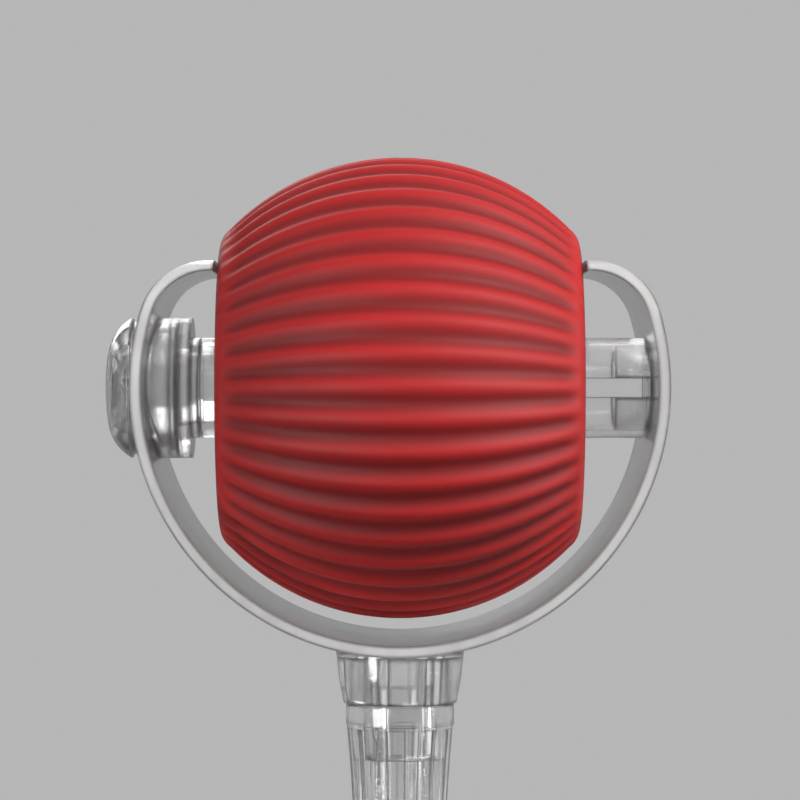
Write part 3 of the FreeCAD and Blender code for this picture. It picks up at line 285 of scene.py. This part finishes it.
board_green, shade = new_finish("board_green")
track = shade.node("ShaderNodeMapping", values={
    "Vector": shade.node("ShaderNodeTexCoord", out="Object"),
    "Rotation": (0, math.pi / 2, 0), "Scale": (230, 230, 230)})
track = shade.node("ShaderNodeTexBrick", {"offset": 0.3, "squash": 0.6}, {
    "Vector": track, "Mortar Size": 0.09, "Mortar Smooth": 0.2, "Scale": 1.0}, "Fac")
weave = noise(shade, 2600.0, detail=2.0)
surface(shade, {
    "Base Color": track.tint((0.012, 0.10, 0.035), (0.03, 0.21, 0.075)),
    "Roughness": 0.28 + weave * 0.14,
    "Coat Weight": 0.4,
}, track * 0.6 + weave * 0.2, 0.00004)
dress(board_green, "circuit_board")
dress(plated_steel, "charge_socket", "tact_switch")


# Pendulum weight
# A zinc die casting, clamped on the axle tube by a grub screw. It hangs still in the ball, and
# the motor works against it.

zinc = solid_finish("zinc", light=(0.46, 0.47, 0.49), dark=(0.36, 0.37, 0.39), rough=0.42,
                    grain=900.0, lift=0.00008, patches=70.0, metal=0.95)
dress(zinc, "pendulum_weight")
dress(steel, "weight_screw")


# Shells and end covers
# Two cups, moulded in red plastic and screwed together at the belt. A disc on each side closes
# them inside the sleeve's lip, held by three screws.

shell_red = solid_finish("shell_red", light=(0.36, 0.022, 0.024), dark=(0.31, 0.018, 0.02),
                         rough=0.4, grain=2400.0, lift=0.00004)
dress(shell_red, "left_shell", "right_shell", "left_end_cover", "right_end_cover")
dress(steel, "belt_screws", "left_cover_screws", "right_cover_screws")


# Fluted sleeve
# The soft skin, cast in silicone and stretched over the cups, with a rounded edge and a lip on
# each flat side. Its 45 flutes run from side to side, with ridges as round as the valleys.

axle_height = 0.172
barrel_radius, barrel_arc, half_width = 0.040, 0.0412436, 0.03107
skin, lip, lip_radius, edge = 0.0026, 0.00145, 0.0226, 0.0016
flutes, flute_depth, flute_fade = 45, 0.00088, 0.0042
flute_steps, width_steps, edge_steps, inner_steps = 12, 78, 8, 24


def add(name, data):
    """A new object, put into the scene."""
    made = bpy.data.objects.new(name, data)
    bpy.context.scene.collection.objects.link(made)
    return made


def barrel(x, inset=0.0):
    """Radius of the barrel at a distance x from its middle."""
    return barrel_radius - barrel_arc + math.sqrt(barrel_arc ** 2 - x ** 2) - inset


def smooth(value):
    """0 up to 0, 1 from 1 on, and an even curve between."""
    value = min(1.0, max(0.0, value))
    return value * value * (3 - 2 * value)


def sleeve_section():
    """Points (x, radius, flute share) of the wall, once round its section."""
    top, inner = half_width - edge, half_width - lip
    tread = []
    for step in range(width_steps + 1):
        x = -top + 2 * top * step / width_steps
        tread.append((x, barrel(x), smooth((half_width - abs(x)) / flute_fade)))
    corner = barrel(half_width) - edge
    side = []
    for step in range(1, edge_steps + 1):
        angle = math.pi / 2 * step / edge_steps
        blend = 1 - step / edge_steps
        radius = corner + edge * math.cos(angle) + (barrel(top) - corner - edge) * blend
        share = smooth((half_width - top) / flute_fade) * blend
        side.append((top + edge * math.sin(angle), radius, share))
    for part in (0.5, 1.0):
        side.append((half_width, corner + (lip_radius - corner) * part, 0.0))
    side += [(inner, lip_radius, 0.0), (inner, barrel(inner, skin), 0.0)]
    lining = []
    for step in range(1, inner_steps):
        x = inner - 2 * inner * step / inner_steps
        lining.append((x, barrel(x, skin), 0.0))
    other_side = [(-x, radius, share) for x, radius, share in reversed(side)]
    return tread + side + lining + other_side


section = sleeve_section()
count, turns = len(section), flutes * flute_steps
points, faces = [], []
for turn in range(turns):
    angle = 2 * math.pi * turn / turns
    valley = (1 - math.cos(flutes * angle)) / 2
    for x, radius, share in section:
        reach = radius - flute_depth * share * valley
        points.append((x, -reach * math.cos(angle), axle_height + reach * math.sin(angle)))
    here, ahead = turn * count, (turn + 1) % turns * count
    for place in range(count):
        after = (place + 1) % count
        faces.append((here + place, here + after, ahead + after, ahead + place))
mesh = bpy.data.meshes.new("fluted_sleeve")
mesh.from_pydata(points, [], faces)
mesh.update()
mesh.shade_smooth()
sleeve = add("fluted_sleeve", mesh)

red_silicone, shade = new_finish("red_silicone")
place = shade.node("ShaderNodeTexCoord", out="Object").vector("SUBTRACT", (0, 0, axle_height))
along, across, upward = place.axes()
reach = (across * across + upward * upward) ** 0.5
crown = (barrel_arc ** 2 - along * along) ** 0.5 + (barrel_radius - barrel_arc)
valley = (crown - reach).above(0.0, flute_depth)
blush = noise(shade, 38.0).above(0.3, 0.7)
grain = noise(shade, 5200.0, detail=2.0, rough=0.6)
lint = noise(shade, 900.0, detail=5.0, rough=0.7).above(0.66, 0.76)
skin_tone = blush.tint((0.54, 0.015, 0.016), (0.48, 0.013, 0.014))
# The valleys of the flutes are darkened: painted shade in the grooves.
skin_tone = valley.tint(skin_tone, (0.24, 0.006, 0.007))
surface(shade, {
    "Base Color": (lint * 0.25).tint(skin_tone, (0.58, 0.16, 0.14)),
    "Roughness": 0.50 + grain * 0.12 + blush * 0.05,
    "Specular IOR Level": 0.28,
    "Sheen Weight": 0.06,
    "Sheen Roughness": 0.5,
    "Sheen Tint": (1.0, 0.55, 0.5, 1.0),
}, grain + lint * 0.6, 0.00004)
mesh.materials.append(red_silicone)
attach(sleeve, "ball")
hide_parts("ribbed_sleeve")


# Controls in the left cover
# The power button and the plug of the charging port are soft red rubber. The status light
# shines through a small, milky lens beside them.

red_rubber = solid_finish("red_rubber", light=(0.30, 0.02, 0.02), dark=(0.24, 0.016, 0.016),
                          rough=0.6, grain=3200.0, lift=0.00004)
dress(red_rubber, "power_button", "port_plug")
lens_plastic = solid_finish("lens_plastic", light=(0.80, 0.82, 0.82), dark=(0.72, 0.75, 0.76),
                            rough=0.2, grain=2400.0, lift=0.00001)
dress(lens_plastic, "status_lens")


# Fork
# The clear band that carries the axle, one moulding with the boss in its left arm, the seat
# ring in its right arm and the conical neck. The flow lines run up both arms from the neck.

band_half_depth, band_top, band_corner = 0.0235, axle_height + 0.0217, 0.011
clear_band = clear_finish("clear_band", tone=(0.955, 0.96, 0.96), milk=0.06, haze=0.02,
                          flow=(1, 0.3, 1), corner=0.0012,
                          outline=(band_half_depth, band_top, band_corner))
dress(clear_band, "fork")


# Release knob and lock plunger
# The domed knob turns in the left boss and draws the plunger back by two helical slots. Both
# are clear mouldings like the fork.

clear_knob = clear_finish("clear_knob", tone=(0.94, 0.945, 0.945), milk=0.05, haze=0.025,
                          flow=(1, 1, 1), corner=0.0005)
dress(clear_knob, "release_knob", "lock_plunger")


# Handle
# A clear, waisted grip with ten sunk panels, moulded like the fork. An inner pin fixes it to
# the neck, and a rounded cap closes its lower end.

clear_grip = clear_finish("clear_grip", tone=(0.88, 0.885, 0.885), milk=0.05, haze=0.02,
                          flow=(1, 1, 0.25), corner=0.0004)
dress(clear_grip, "handle_grip", "handle_end_cap", "neck_plug")


# Stage, lamps and camera
# A pale paper floor that passes into a grey backdrop, and five soft lamps. Only the gloss and
# the clear plastic see the white and black panels round the object and the bright roof over it.

backdrop, black, white, roof = (0.47,) * 3, (0.03, 0.03, 0.032), (1.1,) * 3, (1.25,) * 3
floor_radius, floor_sides, fade_start, fade_end = 6.0, 96, 0.35, 0.75
panel_repeats = 8

rim = []
for side in range(floor_sides):
    angle = 2 * math.pi * side / floor_sides
    rim.append((floor_radius * math.cos(angle), floor_radius * math.sin(angle), 0))
floor_mesh = bpy.data.meshes.new("floor")
floor_mesh.from_pydata(rim, [], [tuple(range(floor_sides))])
floor = add("floor", floor_mesh)

floor_paper, shade = new_finish("floor_paper")
distance = shade.node("ShaderNodeTexCoord", out="Object").vector("LENGTH", out="Value")
fibre = noise(shade, 700.0, rough=0.6).tint((0.62, 0.62, 0.62), (0.66, 0.66, 0.66))
bounced = shade.node("ShaderNodeLightPath", out="Is Diffuse Ray")
paper = shade.node("ShaderNodeBsdfDiffuse", values={
    "Color": bounced.tint(fibre, (0.08, 0.08, 0.08))})
glow = shade.node("ShaderNodeEmission", values={"Color": (*backdrop, 1)})
shade.node("ShaderNodeOutputMaterial", values={
    "Surface": distance.above(fade_start, fade_end).blend(paper, glow)})
floor_mesh.materials.append(floor_paper)

world = bpy.data.worlds.new("studio")
bpy.context.scene.world = world
shade = blank(world)
seen = shade.node("ShaderNodeLightPath", out="Is Camera Ray")
mirrored = (seen.also("Is Glossy Ray") + seen.also("Is Transmission Ray")).above(0.0, 1.0)
east, north, rise = shade.node("ShaderNodeTexCoord", out="Generated").axes()
swing = (north.maths("ARCTAN2", east) * panel_repeats).maths("COSINE") * -1.0
studio = backdrop
for low, high, tone in ((-0.35, -0.15, black), (0.10, 0.20, white), (0.78, 0.85, black)):
    studio = swing.above(low, high).tint(studio, tone)
studio = rise.above(0.60, 0.72).tint(studio, roof)
ambient = shade.node("ShaderNodeBackground", values={
    "Color": (0.9, 0.92, 1.0, 1), "Strength": 0.08})
panels = shade.node("ShaderNodeBackground", values={"Color": studio})
paper = shade.node("ShaderNodeBackground", values={"Color": (*backdrop, 1)})
shade.node("ShaderNodeOutputWorld", values={
    "Surface": seen.blend(mirrored.blend(ambient, panels), paper)})


def lamp(name, place, wide, high, watts, colour=(1, 1, 1)):
    """A soft box turned to the ball's centre. The camera doesn't see it."""
    light = bpy.data.lights.new(name, "AREA")
    light.shape = "RECTANGLE"
    light.size, light.size_y = wide, high
    light.energy, light.color = watts, colour
    made = add(name, light)
    made.location = place
    towards = Vector((0, 0, axle_height)) - made.location
    made.rotation_euler = towards.to_track_quat("-Z", "Y").to_euler()
    made.visible_camera = False
    return made


lamp("key", (0.62, -0.50, 0.76), wide=0.34, high=0.34, watts=10.2, colour=(1, 0.98, 0.96))
fill = lamp("fill", (-0.30, -0.24, 0.06), wide=0.1, high=0.1, watts=0.07, colour=(1, 0.97, 0.96))
fill.data.spread = math.radians(70)
lamp("back", (-0.25, 0.75, 0.60), wide=0.5, high=0.5, watts=2.6)
for name, place in (("left_strip", (-0.42, -0.62, 0.16)), ("right_strip", (0.66, -0.30, 0.16))):
    lamp(name, place, wide=0.05, high=0.6, watts=4.5).visible_diffuse = False

camera = add("camera", bpy.data.cameras.new("camera"))
camera.data.lens, camera.data.sensor_width = 160.4, 36.0
camera.location = (0, -0.620, 0.1699)
camera.rotation_euler = (math.pi / 2, 0, 0)
bpy.context.scene.camera = camera
bpy.context.scene.view_settings.view_transform = "Standard"
